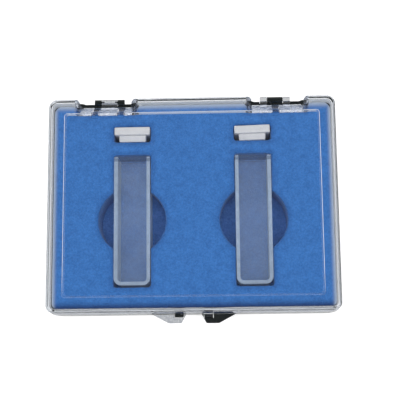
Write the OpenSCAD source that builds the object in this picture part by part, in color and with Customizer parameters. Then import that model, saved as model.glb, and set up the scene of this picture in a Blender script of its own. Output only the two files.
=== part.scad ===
// Hinged case for two square glass cells: black base, clear lid, cut-out foam,
// two 10 mm path cells lying on their sides and their two stoppers.
// Units are millimetres. Origin: middle of the closed case's footprint, on the
// table. +Z is up, the hinge is at +Y, the latch at -Y, and X runs left to right.
// The two shells are the same moulding in two depths: the lid is a half shell
// turned over about the Y axis, so its hinge and latch parts meet the base's.
// Only its hinge notches are deeper and wider, so that they leave the base's rim in view.

/* [Case] */
// Outside width of the case at the parting line, left to right
case_w = 100.6; // [94:0.1:125]
// Outside depth of the case at the parting line, latch side to hinge side
case_d = 75.2; // [72:0.1:100]
// Height of the black base, table to parting line
base_h = 12.5; // [10:0.1:16]
// Height of the clear lid above the parting line
lid_h = 7.5; // [6:0.1:12]
// Thickness of the side walls
wall_t = 1.2; // [0.8:0.1:1.6]
// Thickness of the closed faces, measured outside the sunk panel
floor_t = 1.5; // [1.2:0.1:2]
// How far each side wall leans in between its rim and its closed face
wall_lean = 0.4; // [0.2:0.1:0.8]
// Plan radius of the four upright corners at the rim
corner_r = 3.2; // [2.6:0.1:6]
// Rounding of the edge round each closed face
edge_r = 0.8; // [0.3:0.1:1]
// Rounding inside, between the side walls and the closed face
inner_r = 0.5; // [0.4:0.1:2.5]
// Gap between the two rims when the lid is shut
parting_gap = 0.05; // [0.02:0.01:0.2]

/* [Sunk panel] */
// Border left of and right of the sunk panel
panel_border_x = 5.7; // [4:0.1:9]
// Border in front of and behind the sunk panel
panel_border_y = 5.3; // [4:0.1:9]
// Depth of the sunk panel
panel_sink = 0.5; // [0.2:0.1:0.7]
// Plan radius of the sunk panel's corners
panel_r = 1.6; // [1.2:0.1:4]

/* [Hinges] */
// Distance of each hinge from the middle of the case
hinge_x = 29.4; // [24:0.1:32]
// Width of the notch in the back wall at each hinge
notch_w = 18.4; // [17:0.1:24]
// How far the base's rim steps in at a hinge notch
notch_step = 0.4; // [0.4:0.05:0.8]
// Length of a notch's slanted ends along the rim
notch_end = 1.3; // [1:0.1:1.6]
// How much narrower a notch is at the closed face, at each end
notch_lean = 0.4; // [0.4:0.1:1.5]
// How far the middle of a notch lies outside the middle of its knuckles
notch_shift = 0.6; // [0:0.1:0.8]
// Distance of the hinge axis behind the rim of the back wall
axis_out = 0.15; // [0.1:0.05:0.5]
// Radius of the hinge knuckles
knuckle_r = 1.1; // [1:0.05:1.3]
// Width of the middle knuckle
knuckle_w = 5.5; // [4:0.1:7]
// Width of each outer ear
ear_w = 2.4; // [1.8:0.1:3]
// Side gap between the middle knuckle and an ear
knuckle_gap = 0.15; // [0.1:0.05:0.3]
// Radius of the stub pins on the ears
pin_r = 0.5; // [0.4:0.05:0.6]
// Length of the stub pins
pin_len = 1; // [0.6:0.1:1.5]
// Radial clearance of the stub pins in the middle knuckle
pin_clear = 0.05; // [0.03:0.01:0.1]
// Clearance round the other shell's knuckles where the rim makes room for them
knuckle_clear = 0.15; // [0.1:0.05:0.3]
// How far down the wall a knuckle's web reaches
web_h = 2.4; // [2:0.1:4]
// Width of the small moulding windows in the notch walls
window_w = 2.3; // [1.5:0.1:3]
// Height of the small moulding windows
window_h = 3; // [1.5:0.1:3]
// Distance of the outer windows from the middle of their hinge
window_x = 4.5; // [4:0.1:5.5]

/* [Latch] */
// Inner end of a thumb tab, measured from the middle of the case
tab_inner_x = 2.6; // [2:0.1:3]
// Outer end of a thumb tab, measured from the middle of the case
tab_outer_x = 14.4; // [12:0.1:20]
// Width of a thumb tab's tip
tab_tip_w = 5.3; // [5:0.1:8]
// How far a thumb tab stands out from the rim
tab_out = 3.1; // [2.8:0.1:5]
// Thickness of a thumb tab
tab_t = 1.8; // [1.2:0.1:2.4]
// Rounding of the corners of a thumb tab's tip
tab_r = 0.8; // [0.4:0.1:1]
// Width of the snap finger
finger_w = 3; // [2.4:0.1:3.2]
// Thickness of the snap finger
finger_t = 0.95; // [0.7:0.05:1.1]
// Clearance of the finger in the other shell's tab
finger_clear = 0.2; // [0.15:0.05:0.3]
// Radius of the round boss on a thumb tab
boss_r = 0.7; // [0.4:0.05:0.75]
// Height of that boss, and depth of the dimple on its far side
boss_h = 0.25; // [0.1:0.05:0.5]

/* [Foam] */
// Gap between the foam and the side walls, left and right
foam_gap_x = 0.6; // [0.6:0.1:2]
// Gap between the foam and the front and back walls
foam_gap_y = 0.6; // [0.6:0.1:2]
// Thickness of the foam pad under the cut-out layer
pad_t = 1.5; // [1:0.1:3]
// How far the top of the foam lies below the top of the cells
foam_below = 0.3; // [0:0.1:1.5]
// Diameter of the finger holes
finger_hole_d = 23.5; // [20:0.1:28]
// Clearance round a cell in its foam slot, on each side
slot_clear = 0.2; // [0.1:0.05:0.5]
// Spare length of a cell's foam slot
slot_spare = 1.4; // [0.4:0.1:3]
// Clearance between the foam and the notch walls of the shells
foam_notch_clear = 0.3; // [0.2:0.1:1]

/* [Cells] */
// Outside width of a cell
cell_w = 12.5; // [12:0.1:13]
// Length of a cell from its base to its open end
cell_l = 45; // [40:0.5:48]
// Optical path, the inside width of a cell
cell_path = 10; // [9:0.1:11]
// Radius of the two bottom corners of a cell
cell_r = 2.5; // [0.5:0.1:3]
// Radius of the inside bottom corners of a cell
cell_inner_r = 1.2; // [0.3:0.1:2]
// Distance of each cell from the middle of the case
cell_x = 21.1; // [19:0.1:24]
// Middle of the cells, measured from the middle of the case towards the hinge
cell_y = -5.2; // [-7:0.1:-3]

/* [Stoppers] */
// Width and height of a stopper's square head
head_w = 12.4; // [11.5:0.1:12.4]
// Thickness of a stopper's head
head_t = 2.7; // [2:0.1:3.5]
// Width and height of a stopper's square plug
plug_w = 9.4; // [8:0.1:9.8]
// Length of a stopper's plug
plug_t = 2.3; // [1.5:0.1:3.5]
// Rounding of a stopper's upright edges
stopper_r = 0.4; // [0.2:0.1:0.8]
// Back face of the stoppers, measured from the middle of the case towards the hinge
stopper_y = 27.9; // [25:0.1:28]
// How far the right stopper lies askew in its slot
right_stopper_turn = 1.5; // [0:0.1:2]
// Clearance round a stopper in its foam slot
stopper_clear = 0.25; // [0.2:0.05:0.5]

/* [Hidden] */
$fn = 64;
over = 0.2;                                    // overshoot of a cutter
embed = 0.6;                                   // how deep a lug sits in its wall
rim_x = case_w / 2;
rim_y = case_d / 2;
notch_y = rim_y - notch_step;                  // base's rim line inside a hinge notch
lid_notch_y = notch_y - wall_t;                // the lid's, clear of the base's rim
notch_top_y = rim_y - wall_lean - panel_border_y;
axis_y = rim_y + axis_out;
ear_x = knuckle_w / 2 + knuckle_gap;           // inner face of an ear
tab_y = -rim_y - tab_out;                      // tip of a thumb tab
finger_y = -rim_y - finger_clear / 2;          // finger face next to the wall
finger_x = tab_inner_x + 2 * finger_clear + 0.5 * finger_w + 0.5;
slot_front_y = finger_y - finger_t - 1.5 * finger_clear;
nub_out = finger_clear;
boss_y = (slot_front_y + tab_y) / 2;
lid_z = base_h + parting_gap + lid_h;          // top of the shut case
axis_z = base_h + parting_gap / 2;
pad_z = floor_t;
cell_z = pad_z + pad_t;                        // underside of cells and stoppers
foam_t = cell_w - foam_below;
foam_w = case_w - 2 * (wall_t + foam_gap_x);
foam_d = case_d - 2 * (wall_t + foam_gap_y);
inner_corner_r = max(corner_r - wall_t, wall_lean + inner_r + 0.1);
foam_r = corner_r - wall_t;
cell_wall = (cell_w - cell_path) / 2;
stopper_t = head_t + plug_t;
// the footprint reaches from the tab tips to the back of the knuckles
body_y = ((rim_y + tab_out) - (axis_y + knuckle_r)) / 2;

// ---- shapes shared by both shells, drawn with the closed face down at z = 0 ----

// Half of an upright section: leans out from foot to rim, foot edge rounded
module lean_profile(reach, h, lean, edge) {
    polygon([[0, 0], [reach - lean - edge, 0], [reach - lean - edge, edge],
             [reach - lean, edge], [reach, h], [0, h]]);
    translate([reach - lean - edge, 0]) intersection() {
        translate([0, edge]) circle(edge);
        square(edge);
    }
}

// Rectangular block with leaning sides, round upright corners and a round foot edge
module lean_block(w, d, r, h, lean, edge) {
    for (turn = [0, 180]) rotate([0, 0, turn]) {
        translate([0, d / 2 - r, 0]) rotate([90, 0, 0])
            linear_extrude(d - 2 * r) lean_profile(w / 2, h, lean, edge);
        translate([r - w / 2, 0, 0]) rotate([90, 0, 90])
            linear_extrude(w - 2 * r) lean_profile(d / 2, h, lean, edge);
        for (side = [-1, 1]) translate([side * (w / 2 - r), d / 2 - r, 0])
            rotate_extrude() lean_profile(r, h, lean, edge);
    }
}

// Room that a hinge notch takes out of the back wall: the wall behind it slopes
// from the rim, at rim_line, to the edge of the sunk panel, and its ends lean in.
// The deeper the rim line lies, the wider the notch.
// grow moves its faces inwards.
module notch_wedge(h, rim_line, grow) {
    slope = (rim_line - notch_top_y) / h;
    back = rim_y + wall_t + over;
    in = grow * sqrt(1 + slope * slope);
    half = notch_w / 2 + notch_y - rim_line + grow;
    intersection() {
        translate([-half, 0, 0]) rotate([90, 0, 90]) linear_extrude(2 * half)
            polygon([[notch_top_y - slope - in, -1], [rim_line + slope - in, h + 1],
                     [back, h + 1], [back, -1]]);
        translate([0, 0, -1]) linear_extrude(h + 2)
            polygon([[-half, back], [-half, rim_y], [notch_end - half, rim_line - grow],
                     [notch_end - half, notch_top_y - 2 * over - 2 * grow],
                     [half - notch_end, notch_top_y - 2 * over - 2 * grow],
                     [half - notch_end, rim_line - grow], [half, rim_y], [half, back]]);
        translate([0, back, 0]) rotate([90, 0, 0]) linear_extrude(2 * rim_y)
            polygon([[-half, h + 1], [-half, h], [notch_lean - half, 0], [notch_lean - half, -1],
                     [half - notch_lean, -1], [half - notch_lean, 0], [half, h], [half, h + 1]]);
    }
}

// Both hinge notches of one shell
module notches(h, rim_line, grow) {
    for (side = [-1, 1]) translate([side * (hinge_x + notch_shift), 0, 0])
        notch_wedge(h, rim_line, grow);
}

// Round knuckle and the web that carries it on the notch wall, from x0 to x1
module knuckle(h, rim_line, x0, x1) {
    slope = (rim_line - notch_top_y) / h;
    axis_h = h + parting_gap / 2;
    tangent = knuckle_r * sin(45);
    translate([x0, 0, 0]) rotate([90, 0, 90]) linear_extrude(x1 - x0) union() {
        translate([axis_y, axis_h]) circle(knuckle_r);
        polygon([[rim_line - embed, h], [axis_y, h],
                 [axis_y + tangent, axis_h - tangent],
                 [rim_line - slope * web_h - embed, h - web_h]]);
    }
}

// Cylinder about the hinge axis, from x0 to x1
module on_axis(h, r, x0, x1) {
    translate([x0, axis_y, h + parting_gap / 2]) rotate([0, 90, 0])
        cylinder(x1 - x0, r, r);
}

// Small window through the sloping notch wall, at x
module moulding_window(x) {
    translate([x - window_w / 2, notch_top_y - floor_t, edge_r])
        cube([window_w, 2 * floor_t + wall_t, window_h]);
}

// Thumb tab outline seen from above, with rounded tip corners
module tab_outline() {
    root_y = -rim_y + embed;
    tip0 = tab_inner_x + 1.3;
    tip1 = tip0 + tab_tip_w;
    polygon(concat(
        [[tab_outer_x, root_y], [tab_outer_x, -rim_y]],
        [for (a = [-60, -75, -90]) [tip1 - tab_r, tab_y + tab_r] + tab_r * [cos(a), sin(a)]],
        [for (a = [-90, -120, -150, -165]) [tip0 + tab_r, tab_y + tab_r] + tab_r * [cos(a), sin(a)]],
        [[tab_inner_x, -rim_y], [tab_inner_x, root_y]]));
}

// Thumb tab with its boss, its dimple and the slot for the other shell's finger
module thumb_tab(h) {
    difference() {
        union() {
            translate([0, 0, h - tab_t]) linear_extrude(tab_t) tab_outline();
            translate([finger_x, boss_y, h - tab_t - boss_h])
                cylinder(boss_h + over, boss_r, boss_r);
        }
        translate([finger_x - finger_w / 2 - finger_clear, slot_front_y, h - tab_t - 1])
            cube([finger_w + 2 * finger_clear, -rim_y - slot_front_y, tab_t + 2]);
        translate([finger_x, boss_y, h - boss_h]) cylinder(1, boss_r, boss_r);
    }
}

// Snap finger: stands on the front wall and reaches through the other shell's tab
module snap_finger(h) {
    top = h + parting_gap + tab_t + 3 * nub_out;
    front = finger_y - finger_t;
    translate([-finger_x - finger_w / 2, 0, 0]) rotate([90, 0, 90])
        linear_extrude(finger_w)
        polygon([[-rim_y + embed, h - web_h], [front, h - web_h + finger_t],
                 [front, top - 2 * nub_out], [front - nub_out, top - nub_out],
                 [front, top], [finger_y - nub_out, top],
                 [finger_y, top - nub_out], [finger_y, h], [-rim_y + embed, h]]);
}

// One shell: walls, closed face with its sunk panel, hinge and latch parts
module half_shell(h, rim_line) {
    sink = panel_sink + over;
    panel_w = case_w - 2 * (wall_lean + panel_border_x) + 2 * over;
    panel_d = case_d - 2 * (wall_lean + panel_border_y) + 2 * over;
    difference() {
        lean_block(case_w, case_d, corner_r, h, wall_lean, edge_r);
        notches(h, rim_line, 0);
        translate([0, 0, panel_sink]) mirror([0, 0, 1])
            lean_block(panel_w, panel_d, panel_r + over, sink, sink, over / 2);
        difference() {
            translate([0, 0, floor_t])
                lean_block(case_w - 2 * wall_t, case_d - 2 * wall_t, inner_corner_r,
                           h - floor_t + over / 10, wall_lean, inner_r);
            notches(h, rim_line, wall_t);
        }
        // room for the other shell's knuckles
        on_axis_left(h);
        on_axis_right(h);
        translate([-hinge_x, 0, 0]) moulding_window(0);
        for (side = [-1, 1]) translate([hinge_x, 0, 0]) moulding_window(side * window_x);
    }
    // left hinge: two ears with stub pins
    for (turn = [0, 1]) translate([-hinge_x, 0, 0]) mirror([turn, 0, 0]) {
        knuckle(h, rim_line, ear_x, ear_x + ear_w);
        on_axis(h, pin_r, ear_x - pin_len, ear_x + over);
    }
    // right hinge: the middle knuckle with its bore
    translate([hinge_x, 0, 0]) difference() {
        knuckle(h, rim_line, -knuckle_w / 2, knuckle_w / 2);
        on_axis(h, pin_r + pin_clear, -knuckle_w, knuckle_w);
    }
    thumb_tab(h);
    snap_finger(h);
}

// Left hinge: room between the ears for the other shell's middle knuckle
module on_axis_left(h) {
    translate([-hinge_x, 0, 0]) on_axis(h, knuckle_r + knuckle_clear, -ear_x, ear_x);
}

// Right hinge: room beside the middle knuckle for the other shell's ears
module on_axis_right(h) {
    reach = ear_x + ear_w + knuckle_clear;
    translate([hinge_x, 0, 0]) for (turn = [0, 1]) mirror([turn, 0, 0])
        on_axis(h, knuckle_r + knuckle_clear, knuckle_w / 2, reach);
}

// ---- foam ----

// Rectangle with round corners, centred
module round_rect(w, d, r) {
    square([w - 2 * r, d], center = true);
    square([w, d - 2 * r], center = true);
    for (x = [-1, 1], y = [-1, 1]) translate([x * (w / 2 - r), y * (d / 2 - r)]) circle(r);
}

// Foam block of height t, its sides moved in by inset, that makes room for the
// notch walls of both shells
module foam_block(z, t, inset) {
    difference() {
        translate([0, 0, z]) linear_extrude(t)
            round_rect(foam_w - 2 * inset, foam_d - 2 * inset, foam_r);
        notches(base_h, notch_y, wall_t + foam_notch_clear);
        translate([0, 0, lid_z]) mirror([0, 0, 1])
            notches(lid_h, lid_notch_y, wall_t + foam_notch_clear);
    }
}

// Slots and finger hole for one cell and one stopper, cut right through
module bay_cut(side) {
    translate([side * cell_x, cell_y]) {
        square([cell_w + 2 * slot_clear, cell_l + slot_spare], center = true);
        circle(finger_hole_d / 2);
    }
    translate([side * cell_x, stopper_y - stopper_t / 2])
        square([head_w + 2 * stopper_clear, stopper_t + 2 * stopper_clear], center = true);
}

// ---- cells and stoppers, drawn about their own middle ----

// Outline of a cell seen through its windows, open end towards the hinge
module cell_outline(w, l, r) {
    translate([-w / 2, r - l / 2]) square([w, l - r]);
    translate([r - w / 2, -l / 2]) square([w - 2 * r, l]);
    for (x = [-1, 1]) translate([x * (w / 2 - r), r - l / 2]) circle(r);
}

// U-shaped frosted frame between the two windows
module cell_frame() {
    translate([0, 0, cell_wall]) linear_extrude(cell_w - 2 * cell_wall) difference() {
        cell_outline(cell_w, cell_l, cell_r);
        translate([0, (cell_wall + over) / 2])
            cell_outline(cell_path, cell_l - cell_wall + over, cell_inner_r);
    }
}

// Clear window plate
module cell_window() {
    linear_extrude(cell_wall) cell_outline(cell_w, cell_l, cell_r);
}

// Put what belongs to one side's cell in its place
module at_cell(side) {
    translate([side * cell_x, body_y + cell_y, cell_z]) children();
}

// Stopper lying on its side: head at the back, plug towards the cell
module stopper(side, turn) {
    mid = head_w / 2;
    translate([side * cell_x, body_y + stopper_y - stopper_t / 2, cell_z + mid])
        rotate([0, 0, turn]) translate([0, stopper_t / 2, 0]) rotate([90, 0, 0]) {
            linear_extrude(head_t) round_rect(head_w, head_w, stopper_r);
            linear_extrude(stopper_t) round_rect(plug_w, plug_w, stopper_r);
        }
}

// ---- nodes ----

module base_shell() {
    color("#1f2324") translate([0, body_y, 0]) half_shell(base_h, notch_y);
}
module lid_shell() {
    color([0.86, 0.89, 0.93, 0.3]) translate([0, body_y, lid_z]) rotate([0, 180, 0])
        half_shell(lid_h, lid_notch_y);
}
module foam_pad() {
    color("#2c5088") translate([0, body_y, 0]) foam_block(pad_z, pad_t, inner_r);
}
module foam_insert() {
    color("#4474b8") translate([0, body_y, 0]) difference() {
        foam_block(cell_z, foam_t, 0);
        for (side = [-1, 1]) translate([0, 0, cell_z - over])
            linear_extrude(foam_t + 2 * over) bay_cut(side);
    }
}
module left_cell_frame() {
    color("#c4ccd8") at_cell(-1) cell_frame();
}
module left_cell_upper_window() {
    color([0.8, 0.85, 0.9, 0.3]) at_cell(-1) translate([0, 0, cell_w - cell_wall]) cell_window();
}
module left_cell_lower_window() {
    color([0.8, 0.85, 0.9, 0.3]) at_cell(-1) cell_window();
}
module right_cell_frame() {
    color("#c4ccd8") at_cell(1) cell_frame();
}
module right_cell_upper_window() {
    color([0.8, 0.85, 0.9, 0.3]) at_cell(1) translate([0, 0, cell_w - cell_wall]) cell_window();
}
module right_cell_lower_window() {
    color([0.8, 0.85, 0.9, 0.3]) at_cell(1) cell_window();
}
module left_stopper() {
    color("#e6e8ee") stopper(-1, 0);
}
module right_stopper() {
    color("#e6e8ee") stopper(1, right_stopper_turn);
}

base_shell();
lid_shell();
foam_pad();
foam_insert();
left_cell_frame();
left_cell_upper_window();
left_cell_lower_window();
right_cell_frame();
right_cell_upper_window();
right_cell_lower_window();
left_stopper();
right_stopper();
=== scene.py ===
import math
import bmesh
import bpy
from mathutils import Matrix, Vector, noise
from mathutils.bvhtree import BVHTree
from mathutils.kdtree import KDTree


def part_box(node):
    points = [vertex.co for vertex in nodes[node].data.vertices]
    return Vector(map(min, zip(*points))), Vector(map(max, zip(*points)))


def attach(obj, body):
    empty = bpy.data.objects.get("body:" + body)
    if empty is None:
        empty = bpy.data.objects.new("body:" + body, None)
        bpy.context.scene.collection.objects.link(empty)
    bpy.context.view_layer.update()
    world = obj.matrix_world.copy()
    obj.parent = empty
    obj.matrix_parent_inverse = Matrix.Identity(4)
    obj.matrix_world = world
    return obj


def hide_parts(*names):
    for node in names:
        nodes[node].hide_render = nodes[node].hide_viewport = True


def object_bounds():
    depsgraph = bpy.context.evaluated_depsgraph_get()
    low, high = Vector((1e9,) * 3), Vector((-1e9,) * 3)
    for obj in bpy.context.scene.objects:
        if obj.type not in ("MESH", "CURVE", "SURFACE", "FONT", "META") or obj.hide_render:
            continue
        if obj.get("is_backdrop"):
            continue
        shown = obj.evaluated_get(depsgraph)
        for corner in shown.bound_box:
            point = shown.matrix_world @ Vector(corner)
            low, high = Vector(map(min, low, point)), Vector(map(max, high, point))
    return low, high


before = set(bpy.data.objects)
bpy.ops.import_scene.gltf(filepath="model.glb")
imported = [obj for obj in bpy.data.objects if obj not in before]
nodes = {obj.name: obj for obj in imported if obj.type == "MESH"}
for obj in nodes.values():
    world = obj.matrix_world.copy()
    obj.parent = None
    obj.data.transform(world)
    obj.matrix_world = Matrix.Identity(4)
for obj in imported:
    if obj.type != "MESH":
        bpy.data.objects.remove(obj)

# ---- the view ----
# The camera stands almost straight above the shut case, a little towards the
# latch and to the right. Each image point is where the photograph shows a
# thing, in its 400 by 400 frame, y down.
MM = 0.001
IMAGE_W, IMAGE_H = 400, 400
IMAGE_POINTS = {
    "case_left": (45.5, None), "case_right": (342.6, None),
    "case_top": (None, 94.6), "case_bottom": (None, 324.0),
    "panel_back_left": (65.0, 114.5), "panel_back_right": (318.5, 109.5),
    "panel_front_left": (62.2, 298.3), "panel_front_right": (325.7, 294.3),
    "left_cell_back_left": (113.7, 156.6), "left_cell_back_right": (150.2, 156.0),
    "right_cell_back_left": (235.0, 155.8), "right_cell_back_right": (271.0, 155.3),
    "left_finger_hole": (132.5, 219.7), "right_finger_hole": (254.1, 219.0),
    "left_stopper_head": (132.4, 131.8), "right_stopper_head": (252.4, 129.6),
    "left_nick": (235.9, 151.2), "right_nick": (269.3, 151.0),
}
CAMERA_AIM = Vector((0.00266, 0.00166, 0.0200))
CAMERA_DISTANCE = 0.314
CAMERA_TURN = math.radians(9.04)
CAMERA_TILT = math.radians(10.08)
CAMERA_ROLL = math.radians(-0.88)
CAMERA_LENS = 82.7
CAMERA_SENSOR = 36.0
CAMERA_SHIFT = (0.0, 0.0)

view_lens = bpy.data.cameras.new("view_camera")
view_lens.lens, view_lens.sensor_width, view_lens.sensor_fit = CAMERA_LENS, CAMERA_SENSOR, "AUTO"
view_lens.shift_x, view_lens.shift_y = CAMERA_SHIFT
view_lens.clip_start, view_lens.clip_end = 0.01, 20
camera = bpy.data.objects.new("view_camera", view_lens)
bpy.context.scene.collection.objects.link(camera)
backward = Vector((math.sin(CAMERA_TILT) * math.sin(CAMERA_TURN),
                   -math.sin(CAMERA_TILT) * math.cos(CAMERA_TURN), math.cos(CAMERA_TILT)))
level = (Vector((1, 0, 0)) - backward * backward.x).normalized()
sideways = level * math.cos(CAMERA_ROLL) + backward.cross(level) * math.sin(CAMERA_ROLL)
upward = backward.cross(sideways)
eye = CAMERA_AIM + backward * CAMERA_DISTANCE
camera.matrix_world = Matrix(((sideways.x, upward.x, backward.x, eye.x),
                              (sideways.y, upward.y, backward.y, eye.y),
                              (sideways.z, upward.z, backward.z, eye.z), (0, 0, 0, 1)))
bpy.context.scene.camera = camera
bpy.context.scene.view_settings.view_transform = "Standard"
LONG_SIDE = max(IMAGE_W, IMAGE_H)


def shows_at(place):
    """Image x, y of a point of the case."""
    away = Vector(place) - eye
    depth = -away.dot(backward)
    scale = LONG_SIDE * CAMERA_LENS / CAMERA_SENSOR / depth
    return (IMAGE_W / 2 - CAMERA_SHIFT[0] * LONG_SIDE + away.dot(sideways) * scale,
            IMAGE_H / 2 + CAMERA_SHIFT[1] * LONG_SIDE - away.dot(upward) * scale)


def meets(piece_tree, image_point):
    """Where the ray of an image point meets a finished piece, or the place on it nearest the ray."""
    x, y = image_point
    across = x - IMAGE_W / 2 + CAMERA_SHIFT[0] * LONG_SIDE
    along = IMAGE_H / 2 - y + CAMERA_SHIFT[1] * LONG_SIDE
    ray = (sideways * across + upward * along
           - backward * (LONG_SIDE * CAMERA_LENS / CAMERA_SENSOR)).normalized()
    place, normal, face, far = piece_tree.ray_cast(eye, ray)
    if place is None:
        tries = [piece_tree.find_nearest(eye + ray * (CAMERA_DISTANCE + k * MM)) for k in range(-30, 31)]
        place = min(tries, key=lambda t: t[3])[0]
    return place


# ---- table and light ----
# The case lies on a sheet of white card that runs out of view, in a light room
# whose front is dim. Three large soft lamps hang over it, out of its gloss.
def new_look(name):
    """An empty node material."""
    look = bpy.data.materials.new(name)
    look.use_nodes = True
    look.node_tree.nodes.clear()
    return look, look.node_tree


def add(tree, kind, **values):
    """A node of a look, with its plain values set. A name that starts with in_ is an input."""
    node = tree.nodes.new(kind)
    for key, value in values.items():
        if key.startswith("in_"):
            node.inputs[key[3:].replace("_", " ")].default_value = value
        else:
            setattr(node, key, value)
    return node


def between(tree, value, low, high, at_low=0.0, at_high=1.0):
    """A value taken from one range to another, and held at its ends."""
    span = add(tree, "ShaderNodeMapRange", in_From_Min=low, in_From_Max=high,
               in_To_Min=at_low, in_To_Max=at_high)
    tree.links.new(value, span.inputs["Value"])
    return span.outputs[0]


def work(tree, operation, first, second):
    """A Math node on two values, each a socket or a number."""
    node = add(tree, "ShaderNodeMath", operation=operation)
    for socket, value in zip(node.inputs, (first, second)):
        if isinstance(value, (int, float)):
            socket.default_value = value
        else:
            tree.links.new(value, socket)
    return node.outputs[0]


def mixed(tree, share, first, second):
    """Two shaders mixed by a share, a socket or a number."""
    node = add(tree, "ShaderNodeMixShader")
    if isinstance(share, (int, float)):
        node.inputs[0].default_value = share
    else:
        tree.links.new(share, node.inputs[0])
    tree.links.new(first, node.inputs[1])
    tree.links.new(second, node.inputs[2])
    return node.outputs[0]


def finish_look(tree, shader, kind="ShaderNodeOutputMaterial"):
    """Joins the last shader to the output."""
    out = add(tree, kind)
    tree.links.new(shader, out.inputs["Surface"])


CARD_DROP = 0.05 * MM
bpy.ops.object.select_all(action="DESELECT")
bpy.ops.mesh.primitive_plane_add(size=4, location=(0, 0, -CARD_DROP))
card = bpy.context.object
card.name = "white_card"
card_look, tree = new_look("white_card")
path = add(tree, "ShaderNodeLightPath")
spot = add(tree, "ShaderNodeSeparateXYZ")
tree.links.new(add(tree, "ShaderNodeTexCoord").outputs["Object"], spot.inputs[0])
paper = add(tree, "ShaderNodeBsdfDiffuse", in_Color=(0.82, 0.82, 0.82, 1))
white = add(tree, "ShaderNodeEmission", in_Strength=0.55)
through = add(tree, "ShaderNodeEmission")
front_dim = between(tree, spot.outputs["Y"], -0.13, -0.06, 0.05, 0.60)
side_dim = between(tree, work(tree, "ABSOLUTE", spot.outputs["X"], 0.0), 0.07, 0.14, 0.60, 0.36)
tree.links.new(work(tree, "MINIMUM", front_dim, side_dim), through.inputs["Strength"])
past_plastic = mixed(tree, path.outputs["Is Transmission Ray"], paper.outputs[0], through.outputs[0])
brighter = add(tree, "ShaderNodeAddShader")
tree.links.new(paper.outputs[0], brighter.inputs[0])
tree.links.new(white.outputs[0], brighter.inputs[1])
finish_look(tree, mixed(tree, path.outputs["Is Camera Ray"], past_plastic, brighter.outputs[0]))
card.data.materials.append(card_look)
card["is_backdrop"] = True

room = bpy.data.worlds.new("light_room")
bpy.context.scene.world = room
room.use_nodes = True
tree = room.node_tree
tree.nodes.clear()
path = add(tree, "ShaderNodeLightPath")
toward = add(tree, "ShaderNodeSeparateXYZ")
tree.links.new(add(tree, "ShaderNodeTexCoord").outputs["Generated"], toward.inputs[0])
walls = add(tree, "ShaderNodeBackground")
tree.links.new(between(tree, toward.outputs["Z"], 0.35, 0.8, 0.9, 0.08), walls.inputs["Strength"])
through = add(tree, "ShaderNodeBackground")
tree.links.new(between(tree, toward.outputs["Y"], -0.5, 0.6, 0.08, 0.50), through.inputs["Strength"])
backdrop = add(tree, "ShaderNodeBackground", in_Strength=1.0)
past_plastic = mixed(tree, path.outputs["Is Transmission Ray"], walls.outputs[0], through.outputs[0])
finish_look(tree, mixed(tree, path.outputs["Is Camera Ray"], past_plastic, backdrop.outputs[0]),
            "ShaderNodeOutputWorld")

for name, place, size, watts in (("left_softbox", (-0.45, -0.15, 0.85), 0.6, 3.4),
                                 ("right_softbox", (0.45, -0.10, 0.85), 0.6, 3.2),
                                 ("top_softbox", (0.02, 0.02, 1.10), 0.5, 3.4)):
    softbox = bpy.data.lights.new(name, "AREA")
    softbox.shape, softbox.size, softbox.energy = "SQUARE", size, watts
    lamp = bpy.data.objects.new(name, softbox)
    bpy.context.scene.collection.objects.link(lamp)
    lamp.location = place
    lamp.rotation_euler = (-Vector(place)).to_track_quat("-Z", "Y").to_euler()
    lamp.visible_glossy = lamp.visible_transmission = False

# ---- black base ----
# The lower half of the case, injection-moulded in black polystyrene. It stands on
# its underside. Its faces are glossy, with the fine ripple of the mould and a few
# rubbed patches.
BLACK = (0.012, 0.0145, 0.015, 1)
EDGE_ROUND = 0.12 * MM
MOULD_RIPPLE = 0.02 * MM
cad_low, cad_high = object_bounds()


def wear(tree, place, scale, detail=3.0, stretch=(1, 1, 1)):
    """A noise pattern on a piece, from its own coordinates in metres."""
    spread = add(tree, "ShaderNodeMapping", in_Scale=stretch)
    pattern = add(tree, "ShaderNodeTexNoise", in_Scale=scale, in_Detail=detail, in_Roughness=0.55)
    tree.links.new(place, spread.inputs["Vector"])
    tree.links.new(spread.outputs[0], pattern.inputs["Vector"])
    return pattern.outputs["Fac"]


def relief(tree, value, depth, before=None):
    """A bump of that depth in metres."""
    bump = add(tree, "ShaderNodeBump", in_Strength=1.0, in_Distance=depth)
    tree.links.new(value, bump.inputs["Height"])
    if before:
        tree.links.new(before, bump.inputs["Normal"])
    return bump.outputs[0]


black_look, tree = new_look("moulded_black_polystyrene")
place = add(tree, "ShaderNodeTexCoord").outputs["Object"]
plastic = add(tree, "ShaderNodeBsdfPrincipled", in_Base_Color=BLACK, in_IOR=1.59)
rubbed = between(tree, wear(tree, place, 90, 6), 0.5, 0.72, 0.16, 0.34)
hairlines = between(tree, wear(tree, place, 700, 2, (1, 0.03, 1)), 0.62, 0.75, 0.0, 0.12)
tree.links.new(work(tree, "ADD", rubbed, hairlines), plastic.inputs["Roughness"])
rounded = add(tree, "ShaderNodeBevel", samples=4, in_Radius=EDGE_ROUND)
rippled = relief(tree, wear(tree, place, 160), MOULD_RIPPLE, rounded.outputs[0])
tree.links.new(rippled, plastic.inputs["Normal"])
finish_look(tree, plastic.outputs[0])
base_shell = nodes["base_shell"]
base_shell.data.materials.clear()
base_shell.data.materials.append(black_look)

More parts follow.
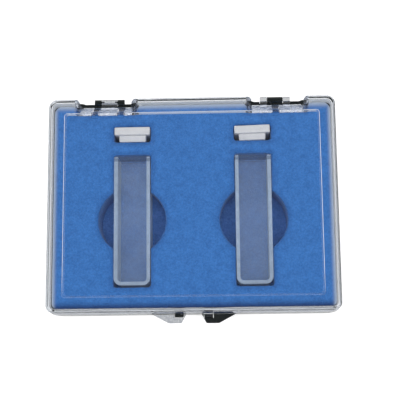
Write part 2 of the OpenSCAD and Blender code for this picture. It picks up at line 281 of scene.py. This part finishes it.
# ---- foam pad and cut-out insert ----
# Two layers of blue closed-cell foam glued into the base: a thin pad, and a thick
# layer die-cut right through for the cells, the stoppers and a fingertip on each
# side of a cell. The cut edges are soft and pulled down a little.
WELD = 0.001 * MM
INSERT_GRAIN, PAD_GRAIN = 0.5 * MM, 0.6 * MM
EDGE_PULL, EDGE_REACH, EDGE_STEP = 0.5 * MM, 1.5 * MM, 0.5 * MM
SKIN_DEEP = 1.2 * MM
SWELL, FINE_SWELL = 0.10 * MM, 0.03 * MM
WALL_GAP = 0.3 * MM
SIDE_BULGE, FRONT_BULGE = 0.32 * MM, 0.45 * MM
SIDE_REACH, BACK_REACH, FRONT_REACH = 0.8 * MM, 1.3 * MM, 1.9 * MM
NICK_WIDE, NICK_LONG, NICK_DEEP = 0.35 * MM, 1.0 * MM, 0.7 * MM
PAD_SWELL, PAD_SINK = 0.04 * MM, 0.10 * MM
PORE_DEPTH, SPECKLE_DEPTH = 0.08 * MM, 0.06 * MM
INSERT_BLUE, PAD_BLUE = (0.037, 0.165, 0.47), (0.072, 0.190, 0.50)
WALL_LIGHT_GREY = (0.44, 0.50, 0.60, 1)


def soft_block(name, cad_node, grain, passes):
    """A foam piece with softened edges, from a copy of its CAD solid."""
    piece = bpy.data.objects.new(name, nodes[cad_node].data.copy())
    bpy.context.scene.collection.objects.link(piece)
    bpy.ops.object.select_all(action="DESELECT")
    piece.select_set(True)
    bpy.context.view_layer.objects.active = piece
    bpy.ops.object.mode_set(mode="EDIT")
    bpy.ops.mesh.select_all(action="SELECT")
    bpy.ops.mesh.remove_doubles(threshold=WELD)
    bpy.ops.object.mode_set(mode="OBJECT")
    grid = piece.modifiers.new("grid", "REMESH")
    grid.mode, grid.voxel_size, grid.use_smooth_shade = "VOXEL", grain, True
    bpy.ops.object.modifier_apply(modifier=grid.name)
    soften = piece.modifiers.new("soften", "SMOOTH")
    soften.factor, soften.iterations = 0.5, passes
    bpy.ops.object.modifier_apply(modifier=soften.name)
    bpy.ops.object.shade_smooth()
    return piece


def cut_lines(cad_node):
    """Points at short steps along the edges of a foam solid's upper face."""
    solid = bmesh.new()
    solid.from_mesh(nodes[cad_node].data)
    bmesh.ops.remove_doubles(solid, verts=solid.verts, dist=WELD)
    top = max(v.co.z for v in solid.verts)
    points = []
    for edge in solid.edges:
        a, b = (v.co for v in edge.verts)
        if min(a.z, b.z) < top - 0.01 * MM or len(edge.link_faces) != 2:
            continue
        if abs(edge.link_faces[0].normal.z - edge.link_faces[1].normal.z) < 0.3:
            continue
        steps = max(1, int((b - a).length / EDGE_STEP))
        points += [a.lerp(b, k / steps) for k in range(steps + 1)]
    solid.free()
    tree = KDTree(len(points))
    for k, p in enumerate(points):
        tree.insert(p, k)
    tree.balance()
    return tree


insert = soft_block("cut_foam_insert", "foam_insert", INSERT_GRAIN, 3)
edges = cut_lines("foam_insert")
insert_low, insert_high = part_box("foam_insert")
# painted shade near the cut edges and the front edge, and painted light near the side and back walls, kept
# as point values
cut_edge_shade, wall_side_light, front_edge_shade = [], [], []
for v in insert.data.vertices:
    pull = math.exp(-(edges.find(v.co)[2] / EDGE_REACH) ** 2)
    from_side = insert_high.x - abs(v.co.x)
    from_back, from_front = insert_high.y - v.co.y, v.co.y - insert_low.y
    cut_edge_shade.append(pull)
    wall_side_light.append(max(math.exp(-(from_side / SIDE_REACH) ** 2),
                         math.exp(-(from_back / BACK_REACH) ** 2)))
    front_edge_shade.append(math.exp(-(from_front / FRONT_REACH) ** 2))
    if v.co.z > insert_high.z - SKIN_DEEP:
        swell = noise.noise(v.co * 55) * SWELL + noise.noise(v.co * 220) * FINE_SWELL
        v.co.z += swell * (1 - pull) - EDGE_PULL * pull
        v.co.z = min(v.co.z, insert_high.z)
    height = (v.co.z - insert_low.z) / (insert_high.z - insert_low.z)
    belly = min(1, max(0, 1 - abs(2 * height - 1.1)) * 2)
    if from_side < WALL_GAP:
        v.co.x += math.copysign(SIDE_BULGE * belly, v.co.x)
    if from_back < WALL_GAP:
        v.co.y += SIDE_BULGE * belly
    if from_front < WALL_GAP:
        v.co.y -= FRONT_BULGE * belly
for name, values in (("cut_edge_shade", cut_edge_shade), ("wall_side_light", wall_side_light), ("front_edge_shade", front_edge_shade)):
    shade = insert.data.attributes.new(name, "FLOAT", "POINT")
    shade.data.foreach_set("value", values)
insert.data.update()

# the die overshot a little at the corners of the right slot
insert_tree = BVHTree.FromPolygons([v.co for v in insert.data.vertices],
                                   [p.vertices for p in insert.data.polygons])
for name in ("left_nick", "right_nick"):
    nick = meets(insert_tree, IMAGE_POINTS[name])
    for v in insert.data.vertices:
        aside = Vector(((v.co.x - nick.x) / NICK_WIDE, (v.co.y - nick.y) / NICK_LONG))
        if v.co.z > insert_high.z - 1.5 * MM and aside.length < 2:
            v.co.z -= NICK_DEEP * math.exp(-aside.length ** 2)
insert.data.update()

pad = soft_block("foam_pad_sheet", "foam_pad", PAD_GRAIN, 2)
pad_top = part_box("foam_pad")[1].z
for v in pad.data.vertices:
    if v.co.z > pad_top - 0.7 * MM:
        v.co.z += noise.noise(v.co * 90) * PAD_SWELL - PAD_SINK
pad.data.update()


def foam_look(name, blue):
    """Matt foam with fine closed cells, with painted shade at its cut edges and its front edge, and painted
    pale light against the side and back walls.
    """
    look, tree = new_look(name)
    place = add(tree, "ShaderNodeTexCoord").outputs["Object"]
    foam = add(tree, "ShaderNodeBsdfPrincipled", in_Roughness=0.95, in_Specular_IOR_Level=0.15,
               in_Sheen_Weight=0.12, in_Sheen_Roughness=0.6)
    speckle = wear(tree, place, 1500, 2)
    bubbles = add(tree, "ShaderNodeTexVoronoi", feature="F1", in_Scale=2600.0)
    tree.links.new(place, bubbles.inputs["Vector"])
    tint = add(tree, "ShaderNodeMix", data_type="RGBA", blend_type="MIX")
    tint.inputs["A"].default_value = (blue[0] * 0.72, blue[1] * 0.80, blue[2] * 0.84, 1)
    tint.inputs["B"].default_value = (blue[0] * 1.30, blue[1] * 1.20, blue[2] * 1.16, 1)
    mottle = work(tree, "ADD", between(tree, wear(tree, place, 420, 4), 0.35, 0.65, 0.06, 0.50),
                  between(tree, speckle, 0.3, 0.7, -0.2, 0.64))
    tree.links.new(mottle, tint.inputs["Factor"])
    shaded = tint.outputs["Result"]
    # painted shade darkens the cut edges and the front edge; painted light greys the foam against the walls
    for mark, colour, blend, low, share in (("cut_edge_shade", (0.66, 0.74, 0.80, 1), "MULTIPLY", 0.15, 0.8),
                                            ("front_edge_shade", (0.10, 0.16, 0.26, 1), "MULTIPLY", 0.0, 0.94),
                                            ("wall_side_light", WALL_LIGHT_GREY, "MIX", 0.0, 0.9)):
        near = add(tree, "ShaderNodeAttribute", attribute_name=mark)
        coat = add(tree, "ShaderNodeMix", data_type="RGBA", blend_type=blend)
        coat.inputs["B"].default_value = colour
        tree.links.new(between(tree, near.outputs["Fac"], low, 1.0, 0.0, share), coat.inputs["Factor"])
        tree.links.new(shaded, coat.inputs["A"])
        shaded = coat.outputs["Result"]
    tree.links.new(shaded, foam.inputs["Base Color"])
    pores = relief(tree, bubbles.outputs["Distance"], PORE_DEPTH)
    tree.links.new(relief(tree, speckle, SPECKLE_DEPTH, pores), foam.inputs["Normal"])
    finish_look(tree, foam.outputs[0])
    return look


for piece, cad_node, look in ((insert, "foam_insert", foam_look("blue_closed_cell_foam", INSERT_BLUE)),
                              (pad, "foam_pad", foam_look("blue_pad_foam", PAD_BLUE))):
    piece.data.materials.clear()
    piece.data.materials.append(look)
    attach(piece, "base")
    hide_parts(cad_node)

# ---- glass cells ----
# Two square cells for a 10 mm path, lying loose on their sides in the foam. Each is
# a U-shaped frame of ground glass between two polished windows, fused round the
# edge, and open at the end next to its stopper.
GRIND_DEPTH = 0.03 * MM
GLINT_DEEP = 0.6 * MM
MOUTH_DEEP = 2.0 * MM


def lets_light_in(tree, solid, clear):
    """The solid look, but clear to lamps and to light that bounces about inside."""
    path = add(tree, "ShaderNodeLightPath")
    return mixed(tree, work(tree, "MAXIMUM", path.outputs["Is Shadow Ray"], path.outputs["Is Diffuse Ray"]),
                 solid, clear)


frosted_look, tree = new_look("ground_glass")
place = add(tree, "ShaderNodeTexCoord").outputs["Object"]
ground = add(tree, "ShaderNodeBsdfPrincipled", in_Base_Color=(0.53, 0.62, 0.76, 1),
             in_Roughness=0.6, in_IOR=1.46)
clear = add(tree, "ShaderNodeBsdfTransparent", in_Color=(0.93, 0.96, 0.98, 1))
tree.links.new(relief(tree, wear(tree, place, 2200, 2), GRIND_DEPTH), ground.inputs["Normal"])
milky = between(tree, wear(tree, place, 300, 3), 0.3, 0.7, 0.46, 0.60)
along = add(tree, "ShaderNodeSeparateXYZ")
tree.links.new(place, along.inputs[0])
open_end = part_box("left_cell_frame")[1].y
# painted highlight: near its open end the frame is almost wholly milky, so that the end shows white
end_glint = between(tree, along.outputs["Y"], open_end - GLINT_DEEP, open_end - 0.4 * MM, 0, 0.96)
milky = work(tree, "MAXIMUM", milky, end_glint)
finish_look(tree, mixed(tree, milky, clear.outputs[0], ground.outputs[0]))

window_look, tree = new_look("polished_glass")
place = add(tree, "ShaderNodeTexCoord").outputs["Object"]
glass = add(tree, "ShaderNodeBsdfGlass", in_Color=(0.97, 0.98, 0.99, 1), in_IOR=1.46, in_Roughness=0.0)
haze = add(tree, "ShaderNodeBsdfDiffuse", in_Color=(0.62, 0.76, 0.95, 1))
clear = add(tree, "ShaderNodeBsdfTransparent", in_Color=(0.96, 0.97, 0.98, 1))
film = between(tree, wear(tree, place, 120, 3), 0.3, 0.7, 0.03, 0.06)
dusted = mixed(tree, film, glass.outputs[0], haze.outputs[0])
along = add(tree, "ShaderNodeSeparateXYZ")
tree.links.new(place, along.inputs[0])
window_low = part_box("left_cell_upper_window")[0].z
# painted shade: the upper window darkens towards the open end, where the shaded end of the foam slot shows
# through the mouth
near_mouth = between(tree, along.outputs["Y"], open_end - MOUTH_DEEP, open_end - 1.6 * MM, 0.0, 0.45)
mouth = work(tree, "MULTIPLY", work(tree, "GREATER_THAN", along.outputs["Z"], window_low), near_mouth)
mouth_shade = add(tree, "ShaderNodeBsdfDiffuse", in_Color=(0.020, 0.045, 0.115, 1))
mouth_shaded = mixed(tree, mouth, dusted, mouth_shade.outputs[0])
finish_look(tree, lets_light_in(tree, mouth_shaded, clear.outputs[0]))
for side in ("left", "right"):
    for part, look in (("frame", frosted_look), ("upper_window", window_look),
                       ("lower_window", window_look)):
        shell = nodes[side + "_cell_" + part].data
        shell.materials.clear()
        shell.materials.append(look)

# ---- stoppers ----
# Two stoppers cut from white PTFE: a square head and a smaller square plug that
# fits a cell's mouth. Their edges are broken and slightly waxy. They stand loose
# on edge in their own slots of the foam, the right one a little askew.
HEAD_THICK = 2.7 * MM
PLUG_WIDE, PLUG_TAPER = 9.4 * MM, 0.985
DISH_RIM, DISH_DEEP, DISH_TAPER = 1.6 * MM, 0.35 * MM, 0.94
EDGE_BREAK = 0.28 * MM
ASKEW = math.radians(1.5)


def pick_faces(piece, test):
    """Selects a piece's faces by a test of their middle and normal."""
    bpy.ops.object.mode_set(mode="EDIT")
    bpy.ops.mesh.select_mode(type="FACE")
    bpy.ops.mesh.select_all(action="DESELECT")
    bpy.ops.object.mode_set(mode="OBJECT")
    for face in piece.data.polygons:
        face.select = bool(test(face.center, face.normal))
    bpy.ops.object.mode_set(mode="EDIT")


low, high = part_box("left_stopper")
head_middle = Vector(((low.x + high.x) / 2, high.y - HEAD_THICK / 2, (low.z + high.z) / 2))
head_wide = high.x - low.x
bpy.ops.object.select_all(action="DESELECT")
bpy.ops.mesh.primitive_cube_add(size=1, location=head_middle,
                                scale=(head_wide, HEAD_THICK, high.z - low.z))
bpy.ops.object.transform_apply(location=True, rotation=True, scale=True)
left_stopper = bpy.context.object
left_stopper.name = "left_stopper_turned"
pick_faces(left_stopper, lambda at, up: up.y < -0.9)
bpy.ops.mesh.inset(thickness=(head_wide - PLUG_WIDE) / 2)
bpy.ops.mesh.extrude_region_move(
    TRANSFORM_OT_translate={"value": (0, low.y - head_middle.y + HEAD_THICK / 2, 0)})
bpy.ops.transform.resize(value=(PLUG_TAPER, 1, PLUG_TAPER),
                         center_override=(head_middle.x, low.y, head_middle.z))
bpy.ops.object.mode_set(mode="OBJECT")
pick_faces(left_stopper, lambda at, up: up.y > 0.9)
bpy.ops.mesh.inset(thickness=DISH_RIM)
bpy.ops.mesh.extrude_region_move(TRANSFORM_OT_translate={"value": (0, -DISH_DEEP, 0)})
bpy.ops.transform.resize(value=(DISH_TAPER, 1, DISH_TAPER), center_override=tuple(head_middle))
bpy.ops.object.mode_set(mode="OBJECT")
broken = left_stopper.modifiers.new("broken_edges", "BEVEL")
broken.width, broken.segments = EDGE_BREAK, 3
broken.limit_method, broken.angle_limit = "ANGLE", math.radians(40)
bpy.ops.object.modifier_apply(modifier=broken.name)
bpy.ops.object.shade_smooth_by_angle(angle=math.radians(35))

right_stopper = left_stopper.copy()
right_stopper.data = left_stopper.data.copy()
right_stopper.name = "right_stopper_turned"
bpy.context.scene.collection.objects.link(right_stopper)
right_low, right_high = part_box("right_stopper")
middle = Vector((head_middle.x, (low.y + high.y) / 2, head_middle.z))
right_middle = (right_low + right_high) / 2
right_stopper.data.transform(Matrix.Translation(right_middle) @ Matrix.Rotation(ASKEW, 4, "Z")
                             @ Matrix.Translation(-middle))

ptfe_look, tree = new_look("turned_white_ptfe")
place = add(tree, "ShaderNodeTexCoord").outputs["Object"]
ptfe = add(tree, "ShaderNodeBsdfPrincipled", in_Roughness=0.5, in_IOR=1.38, in_Subsurface_Weight=0.25,
           in_Subsurface_Radius=(1.0, 1.0, 1.0), in_Subsurface_Scale=0.5 * MM)
white = add(tree, "ShaderNodeMix", data_type="RGBA", blend_type="MIX")
white.inputs["A"].default_value = (0.60, 0.60, 0.62, 1)
white.inputs["B"].default_value = (0.73, 0.71, 0.71, 1)
tree.links.new(wear(tree, place, 500, 4), white.inputs["Factor"])
tree.links.new(white.outputs["Result"], ptfe.inputs["Base Color"])
tool_marks = relief(tree, wear(tree, place, 900, 1, (0.1, 1, 0.1)), 0.02 * MM)
tree.links.new(tool_marks, ptfe.inputs["Normal"])
finish_look(tree, ptfe.outputs[0])
for piece, body in ((left_stopper, "left_stopper"), (right_stopper, "right_stopper")):
    piece.data.materials.clear()
    piece.data.materials.append(ptfe_look)
    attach(piece, body)
    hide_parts(body)

# ---- clear lid ----
# The upper half of the case, the same moulding in clear polystyrene. It is hinged
# to the base at two notches in its back and snaps shut at the front. The parting
# face along its rim is a little dull, so that it catches light all round.
LID_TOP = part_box("lid_shell")[1].z
RIM_LEVEL = LID_TOP - 7.5 * MM
RIM_HALF_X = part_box("base_shell")[1].x
FRONT_WALL_Y, BACK_WALL_Y = cad_low.y + 3.1 * MM, cad_high.y - 1.25 * MM
MIDDLE_Y = (FRONT_WALL_Y + BACK_WALL_Y) / 2
RIM_CORNER = 2.6 * MM
DULL_LEFT, DULL_RIGHT, DULL_FRONT, DULL_BACK = 0.40 * MM, 0.65 * MM, 0.25 * MM, 0.18 * MM
FRONT_STRIP = 0.50 * MM
HAZE_FROM, HAZE_TO = 0.6 * MM, 1.7 * MM
HINGE_X, WEBS_HALF = 29.4 * MM, 5.5 * MM
NOTCH_X, NOTCH_HALF = 30.0 * MM, 10.4 * MM
NOTCH_RIM_Y, NOTCH_TOP_Y = BACK_WALL_Y - 1.6 * MM, BACK_WALL_Y - 5.7 * MM
WINDOW_X, WINDOW_HALF = 4.5 * MM, 1.25 * MM
PANEL_HALF_X, PANEL_HALF_Y, PANEL_CORNER = 44.2 * MM, 31.9 * MM, 1.0 * MM
FINGER_X, FINGER_HALF = 5.0 * MM, 1.8 * MM
MOULD_WAVE = 0.04 * MM


def apart(tree, value, middle):
    """How far a value lies from a middle, either way."""
    return work(tree, "ABSOLUTE", work(tree, "SUBTRACT", value, middle), 0.0)


def above(tree, value, limit):
    """Where a value is greater than a limit."""
    return work(tree, "GREATER_THAN", value, limit)


def below(tree, value, limit):
    """Where a value is less than a limit."""
    return work(tree, "LESS_THAN", value, limit)


def either(tree, first, second):
    """Where one of two masks holds, or the larger of two shares."""
    return work(tree, "MAXIMUM", first, second)


def every(tree, *masks):
    """Where all the masks hold."""
    both = masks[0]
    for mask in masks[1:]:
        both = work(tree, "MULTIPLY", both, mask)
    return both


def past_outline(tree, spot, low, high, corner):
    """How far a place lies outside (above 0) or inside the rounded oblong from low to high."""
    beyond = []
    for axis in (0, 1):
        from_middle = apart(tree, spot.outputs[axis], (low[axis] + high[axis]) / 2)
        straight_part = (high[axis] - low[axis]) / 2 - corner
        beyond.append(work(tree, "MAXIMUM", work(tree, "SUBTRACT", from_middle, straight_part), 0.0))
    squares = [work(tree, "MULTIPLY", b, b) for b in beyond]
    return work(tree, "SUBTRACT", work(tree, "SQRT", work(tree, "ADD", *squares), 0.0), corner)


def coated(tree, share, under, colour):
    """A look under a dull skin of one colour, laid on by a share."""
    skin = add(tree, "ShaderNodeBsdfDiffuse", in_Color=colour)
    return mixed(tree, share, under, skin.outputs[0])


clear_look, tree = new_look("moulded_clear_polystyrene")
place = add(tree, "ShaderNodeTexCoord").outputs["Object"]
glass = add(tree, "ShaderNodeBsdfGlass", in_Color=(0.975, 0.985, 0.995, 1), in_IOR=1.5, in_Roughness=0.0)
tree.links.new(relief(tree, wear(tree, place, 45, 2), MOULD_WAVE), glass.inputs["Normal"])
open_to_lamps = add(tree, "ShaderNodeBsdfTransparent", in_Color=(0.96, 0.97, 0.98, 1))
spot = add(tree, "ShaderNodeSeparateXYZ")
tree.links.new(place, spot.inputs[0])
x, y, z = spot.outputs
off_middle = work(tree, "ABSOLUTE", x, 0.0)
from_hinge = apart(tree, off_middle, HINGE_X)
from_notch = apart(tree, off_middle, NOTCH_X)

# the parting face is dull, but for its outermost strip, the hinge webs and the ends of the notches
at_rim = below(tree, z, RIM_LEVEL + 0.1 * MM)
from_rim = past_outline(tree, spot, (DULL_LEFT - RIM_HALF_X, FRONT_WALL_Y + DULL_FRONT),
                        (RIM_HALF_X - DULL_RIGHT, BACK_WALL_Y - DULL_BACK), RIM_CORNER)
inside = below(tree, from_rim, 0.0)
off_front = above(tree, y, FRONT_WALL_Y + 1.6 * MM)
outer_strip = either(tree, above(tree, from_rim, -FRONT_STRIP), off_front)
off_webs = either(tree, above(tree, from_hinge, WEBS_HALF), below(tree, y, NOTCH_RIM_Y - 0.6 * MM))
past_end = apart(tree, from_notch, NOTCH_HALF + 0.6 * MM)
off_ends = either(tree, above(tree, past_end, 1.1 * MM),
                  either(tree, above(tree, y, NOTCH_RIM_Y), below(tree, y, MIDDLE_Y)))
rim_share = work(tree, "MULTIPLY", every(tree, at_rim, inside, outer_strip, off_webs, off_ends), 0.92)

# a breath of haze on the insides of the walls, laid on thicker towards the back as painted light; a painted
# highlight along the step round the sunk panel, strongest at the back
inner_wall = every(tree, off_front, below(tree, from_rim, -HAZE_FROM), above(tree, from_rim, -HAZE_TO),
                   below(tree, z, RIM_LEVEL + 5 * MM), above(tree, from_notch, NOTCH_HALF + 1.7 * MM))
haze_and_back_light = between(tree, y, BACK_WALL_Y - 3.0 * MM, BACK_WALL_Y - 2.0 * MM, 0.30, 0.55)
past_panel = past_outline(tree, spot, (-PANEL_HALF_X, MIDDLE_Y - PANEL_HALF_Y),
                          (PANEL_HALF_X, MIDDLE_Y + PANEL_HALF_Y), PANEL_CORNER)
panel_line = every(tree, below(tree, apart(tree, past_panel, 0.1 * MM), 0.08 * MM),
                   above(tree, z, LID_TOP - 0.2 * MM))
panel_highlight = between(tree, y, MIDDLE_Y - PANEL_HALF_Y, MIDDLE_Y - 0.7 * PANEL_HALF_Y, 0.15, 0.80)
haze_and_highlight = either(tree, work(tree, "MULTIPLY", inner_wall, haze_and_back_light),
                    work(tree, "MULTIPLY", panel_line, panel_highlight))
moulded = coated(tree, either(tree, rim_share, haze_and_highlight), glass.outputs[0], (0.80, 0.81, 0.83, 1))

# thin places that hardly bend the light: round the moulding windows and at the notches' ends, with a grey
# tint that darkens what shows through as painted shade
window_x = work(tree, "MULTIPLY", below(tree, x, 0.0), WINDOW_X)
at_window = every(tree, below(tree, apart(tree, from_hinge, window_x), WINDOW_HALF),
                  above(tree, y, NOTCH_TOP_Y - 0.7 * MM), below(tree, y, NOTCH_RIM_Y - 0.5 * MM))
at_notch_end = every(tree, above(tree, from_notch, NOTCH_HALF - 1.7 * MM),
                     below(tree, from_notch, NOTCH_HALF + 0.35 * MM),
                     above(tree, y, NOTCH_TOP_Y + 0.3 * MM))
for thin, tint in ((at_window, (0.80, 0.80, 0.82, 1)), (at_notch_end, (0.70, 0.73, 0.79, 1))):
    straight = add(tree, "ShaderNodeBsdfRefraction", in_Color=tint, in_Roughness=0.0, in_IOR=1.0)
    moulded = mixed(tree, work(tree, "MULTIPLY", thin, 0.85), moulded, straight.outputs[0])

# the sloping walls of the notches are mottled, the thumb tab is cloudy
on_slope = every(tree, below(tree, from_notch, NOTCH_HALF - 1.4 * MM),
                 above(tree, y, NOTCH_TOP_Y - 0.6 * MM), below(tree, y, NOTCH_RIM_Y - 0.5 * MM),
                 above(tree, z, RIM_LEVEL + 0.8 * MM), work(tree, "SUBTRACT", 1.0, at_window))
streaks = between(tree, wear(tree, place, 700, 2), 0.38, 0.62, 0.15, 0.80)
moulded = coated(tree, work(tree, "MULTIPLY", on_slope, streaks), moulded, (0.50, 0.55, 0.66, 1))
on_tab = every(tree, below(tree, y, FRONT_WALL_Y - 0.3 * MM), below(tree, x, 0.0))
clouds = between(tree, wear(tree, place, 900, 2), 0.35, 0.65, 0.05, 0.60)
moulded = coated(tree, work(tree, "MULTIPLY", on_tab, clouds), moulded, (0.36, 0.38, 0.42, 1))

# painted shade: the snap finger in the black tab's slot and the rounded end edges are coated near-black,
# for the black plastic and its shade that show through them
at_finger = every(tree, below(tree, y, FRONT_WALL_Y), below(tree, apart(tree, x, FINGER_X), FINGER_HALF))
end_edge = every(tree, above(tree, off_middle, RIM_HALF_X - 1.15 * MM), above(tree, z, LID_TOP - 1.2 * MM))
end_edge_dark = work(tree, "MULTIPLY", end_edge, between(tree, x, -10 * MM, 10 * MM, 0.10, 0.42))
painted_dark_share = either(tree, work(tree, "MULTIPLY", at_finger, 0.8), end_edge_dark)
moulded = coated(tree, painted_dark_share, moulded, (0.020, 0.022, 0.025, 1))
finish_look(tree, lets_light_in(tree, moulded, open_to_lamps.outputs[0]))
lid_shell = nodes["lid_shell"]
lid_shell.data.materials.clear()
lid_shell.data.materials.append(clear_look)


for side in ("left", "right"):
    low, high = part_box(side + "_cell_upper_window")
insert_tree = BVHTree.FromPolygons([v.co for v in insert.data.vertices],
                                   [p.vertices for p in insert.data.polygons])
for name in ("left_nick", "right_nick"):
    shows_at(meets(insert_tree, IMAGE_POINTS[name]))
